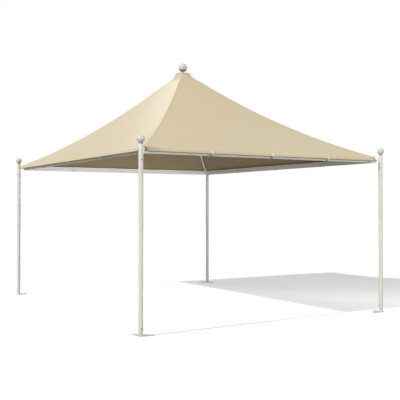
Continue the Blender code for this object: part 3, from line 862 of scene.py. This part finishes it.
def roof_cover():
    """The whole cover as one mesh from four grids that share their hips. It carries two UV maps in metres:
    cloth is the distance along the side and the distance up from the hem's edge, and seam is the distance
    to the hip and the distance to the hem's edge."""
    points, cells, maps, count = [], [], {"cloth": [], "seam": []}, 0
    for side in SIDES:
        reach, half_length = reach_and_half(side)
        along, out, height, away = roof_panel(side, reach, half_length)
        crown = crown_rows(along, out, height)
        ends = (HEM_CUTS[side][0] - half_length, half_length - HEM_CUTS[side][1])
        hem = hem_rows(ends, along[-1], reach, half_length)
        grid = np.concatenate([crown, np.stack([along, out, height], axis=-1), hem])
        rows, columns = grid.shape[:2]
        step = np.linalg.norm(np.diff(grid[:, columns // 2], axis=0), axis=1)
        down = np.concatenate([[0], np.cumsum(step)])
        to_edge = np.repeat((down[-1] - down)[:, None], columns, axis=1)
        to_hip = np.concatenate([np.ones((len(crown), columns)), away, np.ones((len(hem), columns))])
        quads = grid_cells(rows, columns, count)
        keep = np.ones(quads.shape[:2], bool)
        keep[-len(hem):, (along[-1][1:] <= ends[0]) | (along[-1][:-1] >= ends[1])] = False
        quads = quads[keep]
        cells.append(quads)
        points.append(on_side(side, grid[..., 0], grid[..., 1], grid[..., 2]).reshape(-1, 3))
        # The welt's rows count as bound cloth, as the hem's edge does, and take the binding's dark brown,
        # which is partly painted shade
        bound_and_shaded = to_edge.copy()
        bound_and_shaded[WELT_ROWS] = SHADED_BINDING_WIDTH / 2
        for key, first, second in (("cloth", grid[..., 0], to_edge), ("seam", to_hip, bound_and_shaded)):
            pairs = np.stack([first, second], axis=-1).reshape(-1, 2)
            maps[key].append(pairs[quads - count].reshape(-1, 2))
        count += rows * columns
    points, cells = np.concatenate(points), np.concatenate(cells)
    used = np.unique(cells)
    number = np.full(len(points), -1)
    number[used] = np.arange(len(used))
    mesh = bpy.data.meshes.new("canopy_roof")
    mesh.from_pydata(points[used].tolist(), [], number[cells].tolist())
    for key, parts in maps.items():
        layer = mesh.uv_layers.new(name=key)
        layer.data.foreach_set("uv", np.concatenate(parts).astype(np.float32).ravel())
    work = bmesh.new()
    work.from_mesh(mesh)
    bmesh.ops.remove_doubles(work, verts=work.verts, dist=JOIN_DISTANCE)
    work.to_mesh(mesh)
    work.free()
    mesh.shade_smooth()
    return placed("canopy_roof", mesh)


def cloth_group():
    """Woven cloth under a smooth coating. The height is the product of two sines along the cloth's own
    directions, a stitch is a short ridge that repeats along a seam, and the shade is slow noise."""
    inputs = {"Cloth": (0.6, 0.5, 0.35, 1.0), "Binding And Shade": (0.20, 0.118, 0.040, 1.0)}
    inputs |= {"Thread Pitch": 0.0011, "Stitch Length": 0.0042}
    tree, given, out = new_group("coated_cloth", inputs)
    step = math_steps(tree)
    at, off = [
        node(tree, "SeparateXYZ", node(tree, "UVMap", uv_map=key).outputs["UV"]).outputs
        for key in ("cloth", "seam")
    ]
    turns = step("DIVIDE", 2 * math.pi, given["Thread Pitch"])
    warp, weft = [step("SINE", step("MULTIPLY", at[axis], turns)) for axis in "XY"]
    weave = step("MULTIPLY", warp, weft)
    # Stitch rows: two beside each hip and two along the hem
    down, across = [step("FRACT", step("DIVIDE", at[axis], given["Stitch Length"])) for axis in "YX"]
    rows = 0.0
    for measure, run, distances in (("X", down, (0.006, 0.017)), ("Y", across, (0.026, 0.052))):
        dash = step("LESS_THAN", run, 0.72)
        for distance in distances:
            apart = step("ABSOLUTE", step("SUBTRACT", off[measure], distance))
            rows = step("MAXIMUM", step("MULTIPLY", step("LESS_THAN", apart, 0.0007), dash), rows)
    # The hem is double cloth, which lies a little proud
    fold = remap(tree, off["Y"], 0.056, 0.058, 1.0, 0.0)
    height = step("MULTIPLY_ADD", fold, 0.6, step("MULTIPLY_ADD", rows, 0.9, step("MULTIPLY", weave, 0.10)))
    slow, fine = noise(tree, 1.3, 3.0), noise(tree, 55.0, 4.0)
    shade = step("MULTIPLY_ADD", slow, 0.07, 0.965)
    shade = step("MULTIPLY_ADD", fine, 0.03, step("SUBTRACT", shade, 0.015))
    shade = step("SUBTRACT", shade, step("MULTIPLY", rows, 0.18))
    shade = step("MULTIPLY_ADD", weave, 0.012, shade)
    # The hem's edge and the welt are bound with a brown tape, made dark partly as painted shade of the lines
    # under the hem and round the crown
    bound_and_shaded = step("LESS_THAN", off["Y"], SHADED_BINDING_WIDTH)
    dye = blend(tree, bound_and_shaded, given["Cloth"], given["Binding And Shade"])
    tone = node(tree, "VectorMath", dye, operation="SCALE", Scale=shade).outputs["Vector"]
    rough = step("MULTIPLY_ADD", fine, 0.10, 0.27)
    feed(tree, out, {"Color": tone, "Roughness": rough, "Height": height})
    return tree


COATED_CLOTH = cloth_group()


def coated_polyester(name, colour):
    """Coated polyester of one colour: the cloth group in front of a Principled shader."""

    def make(tree):
        cloth = node(tree, "Group", node_tree=COATED_CLOTH, Cloth=(*colour, 1.0)).outputs
        values = {"Base Color": cloth["Color"], "Roughness": cloth["Roughness"], "Specular IOR Level": 0.2}
        return (cloth["Height"], 0.5, 0.0006), values

    return finish(name, make)


canopy = roof_cover()
canopy.data.materials.append(coated_polyester("sand_coated_polyester", (0.590, 0.490, 0.313)))
# The inside is a darker, browner copy of the cloth: painted shade for the roof's underside
canopy.data.materials.append(coated_polyester("sand_coated_polyester_inside_painted_shade", (0.42, 0.315, 0.175)))
wall = canopy.modifiers.new("cloth_thickness", "SOLIDIFY")
wall.thickness = FABRIC
wall.offset = -1.0
wall.material_offset = 1
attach(canopy, "root")
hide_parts("crown_cap", *["canopy_panel_" + side for side in SIDES])

# Hem straps. Three on each side: an eyelet in the hem's slope and a white webbing strap, 23 mm wide, from it
# over the hem's edge, under the beam and up its inner face, where a screw holds it.
EYELET_OUT = 0.0255
EYELET_HEIGHT = 2.3106
EYELET_NORMAL = (0.50, 0.866)
EYELET_RADIUS = 0.0160
EYELET_HOLE = 0.0078
EYELET_ROLLS = (0.0012, 0.0016)
STRAP_WIDTH = 0.023
STRAP_THICKNESS = 0.0016
STRAP_SLANT = 0.017
STRAP_CLEAR = 0.0006
STRAP_INSIDE_TOP = 2.268
STRAP_UNDER = 2.2382
# The path in section: out from the ring's line, and up
STRAP_PATH = [(0.0255, 2.3112), (0.0372, 2.3042), (0.0475, 2.2948), (0.0546, 2.2872), (0.0607, 2.2783)]
STRAP_PATH += [(0.0638, 2.2714), (0.0656, 2.2642), (0.0659, 2.2598), (0.0641, 2.2564), (0.0604, 2.2553)]
STRAP_PATH += [(0.0350, 2.2472), (0.0080, 2.2398), (0.0, STRAP_UNDER), (-0.0380, STRAP_UNDER)]
STRAP_PATH += [(-0.0408, 2.2410), (-0.0408, STRAP_INSIDE_TOP)]
SCREW_HEAD = [(0.0, 0.0), (0.0050, 0.0)] + arc((0.0022, -0.0010), 0.0030, 20, 90, 5) + [(0.0, 0.0020)]
# Where the screw sits: in from the beam's inner face, and down from the strap's end
SCREW_PLACE = (0.0030, 0.008)


def smooth_path(points, steps):
    """Points on a curve through the given ones: each coordinate is a piecewise cubic whose slope at a point
    is half the step between its neighbours, cut down so that the corners stay tight."""
    points = np.array(points)
    slope = np.zeros_like(points)
    slope[1:-1] = (points[2:] - points[:-2]) / 2
    slope[0], slope[-1] = points[1] - points[0], points[-1] - points[-2]
    step = np.linalg.norm(np.diff(points, axis=0), axis=1)
    limit = np.minimum(np.concatenate([step[:1], step]), np.concatenate([step, step[-1:]]))
    size = np.linalg.norm(slope, axis=1)
    slope *= np.minimum(1.0, limit / size)[:, None]
    u = np.linspace(0, 1, steps, endpoint=False)[None, :, None]
    a, b, da, db = points[:-1, None], points[1:, None], slope[:-1, None], slope[1:, None]
    curve = (1 + 2 * u) * (1 - u) ** 2 * a + u * (1 - u) ** 2 * da
    curve = curve + u**2 * (3 - 2 * u) * b - u**2 * (1 - u) * db
    return np.concatenate([curve.reshape(-1, points.shape[1]), points[-1:]])


def strap_grid(side, fraction):
    """Grid of a flat strap with rounded edges, its section carried along the path over the hem and under the
    beam. The strap runs sideways in step with its way down the hem."""
    reach, half_length = reach_and_half(side)
    path = smooth_path(STRAP_PATH, 6)
    step = np.linalg.norm(np.diff(path, axis=0), axis=1)
    run = np.concatenate([[0], np.cumsum(step)])
    turn = np.argmax(path[:, 1] < STRAP_UNDER + 0.0003)
    slant = STRAP_SLANT * (np.clip(run / run[turn], 0, 1) - 0.5)
    tangent = np.gradient(path, axis=0)
    tangent /= np.linalg.norm(tangent, axis=1, keepdims=True)
    normal = np.stack([-tangent[:, 1], tangent[:, 0]], axis=1)
    a, b = STRAP_WIDTH / 2, STRAP_THICKNESS / 2
    section = closed(rounded_outline([(-a, -b), (a, -b), (a, b), (-a, b)], b * 0.95, 4))
    lift = STRAP_CLEAR + b + section[:, 1]
    middle = (2 * fraction - 1) * half_length
    along = middle + slant[:, None] + section[None, :, 0]
    out = reach + path[:, :1] + normal[:, :1] * lift
    z = path[:, 1:] + normal[:, 1:] * lift
    body = on_side(side, along, out, z)
    first, last = [np.zeros_like(row) + row.mean(axis=0) for row in (body[0], body[-1])]
    return np.concatenate([[first], body, [last]])


def strap_webbing(tree):
    """Off-white woven strap: warp ribs along it and a finer weft across, from the sines of its place, and
    grey dirt where noise is high."""
    step = math_steps(tree)
    place = node(tree, "TexCoord").outputs["Object"]
    at = node(tree, "SeparateXYZ", place).outputs
    ribs = step("SINE", step("MULTIPLY", step("ADD", at["X"], at["Y"]), 3900.0))
    picks = step("SINE", step("MULTIPLY", at["Z"], 5200.0))
    weave = step("MULTIPLY_ADD", step("MULTIPLY", ribs, picks), 0.5, 0.5)
    grey = step("MULTIPLY_ADD", weave, 0.25, step("MULTIPLY", noise(tree, 60.0, 4.0), 0.5))
    tone = blend(tree, grey, (0.76, 0.78, 0.80, 1.0), (0.60, 0.61, 0.61, 1.0))
    return (weave, 0.6, 0.0003), {"Base Color": tone, "Roughness": 0.8}


WEBBING = finish("white_webbing", strap_webbing)
inner, outer = EYELET_ROLLS
eyelet_profile = [(EYELET_HOLE, 0.0)] + arc((EYELET_HOLE + inner, 0.0006), inner, 180, 90, 5)
eyelet_profile += arc((EYELET_RADIUS - outer, 0.0002), outer, 90, 0, 6) + [(EYELET_RADIUS, 0.0)]
eyelet_profile += eyelet_profile[:1]
for side in SIDES:
    reach, half_length = reach_and_half(side)
    eyelets, screws = [], []
    for number, fraction in enumerate(CLIP_FRACTIONS, 1):
        strap = skin(f"hem_strap_{side}_{number}", [strap_grid(side, fraction)], WEBBING, 60.0)
        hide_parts(f"hem_clip_{side}_{number}")
        middle = (2 * fraction - 1) * half_length
        place = on_side(side, middle - STRAP_SLANT / 2, reach + EYELET_OUT, EYELET_HEIGHT)
        eyelets.append(turned(eyelet_profile, place, on_side(side, 0.0, *EYELET_NORMAL), 40))
        out, z = reach - BEAM_WIDTH - SCREW_PLACE[0], STRAP_INSIDE_TOP - SCREW_PLACE[1]
        place = on_side(side, middle + STRAP_SLANT / 2, out, z)
        screws.append(turned(SCREW_HEAD, place, on_side(side, 0.0, -1.0, 0.0), 24))
    skin("hem_eyelets_" + side, eyelets, STAINLESS, 60.0)
    skin("strap_screws_" + side, screws, STAINLESS, 40.0)

# Apex ball. 142 mm across, on a short neck that stands on the crown through the cover's hole, and seated in
# a shallow cup of grey rubber, which is painted shade for the dark underside of the ball. Finished as the
# post tops are.
APEX_FOOT = 3.7903
APEX_RADIUS = 0.071
APEX_CENTRE = 3.887
APEX_NECK = 0.013
# The cup of painted shade under the ball: its wall, and the angle below level of its rim
SHADE_CUP_WALL = 0.0022
SHADE_CUP_RIM = 34.0
profile = [(0.0, APEX_FOOT)] + ball_profile(APEX_NECK, APEX_FOOT, APEX_RADIUS, APEX_CENTRE, 48)
apex = skin("apex_ball", [turned(profile, (0, 0, 0), steps=96)], BALL_COAT, 40.0)
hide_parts("apex_finial")
inside = APEX_RADIUS + SHADE_RUBBER_CLEAR
at_neck = math.degrees(math.acos((APEX_NECK + SHADE_RUBBER_BORE) / inside))
shade_cup = arc((0.0, APEX_CENTRE), inside + SHADE_CUP_WALL, -at_neck, -SHADE_CUP_RIM, 16)
shade_cup += arc((0.0, APEX_CENTRE), inside, -SHADE_CUP_RIM, -at_neck, 16)
skin("apex_shade_cup", [turned(shade_cup + shade_cup[:1], (0, 0, 0), steps=96)], SHADE_RUBBER, 40.0)
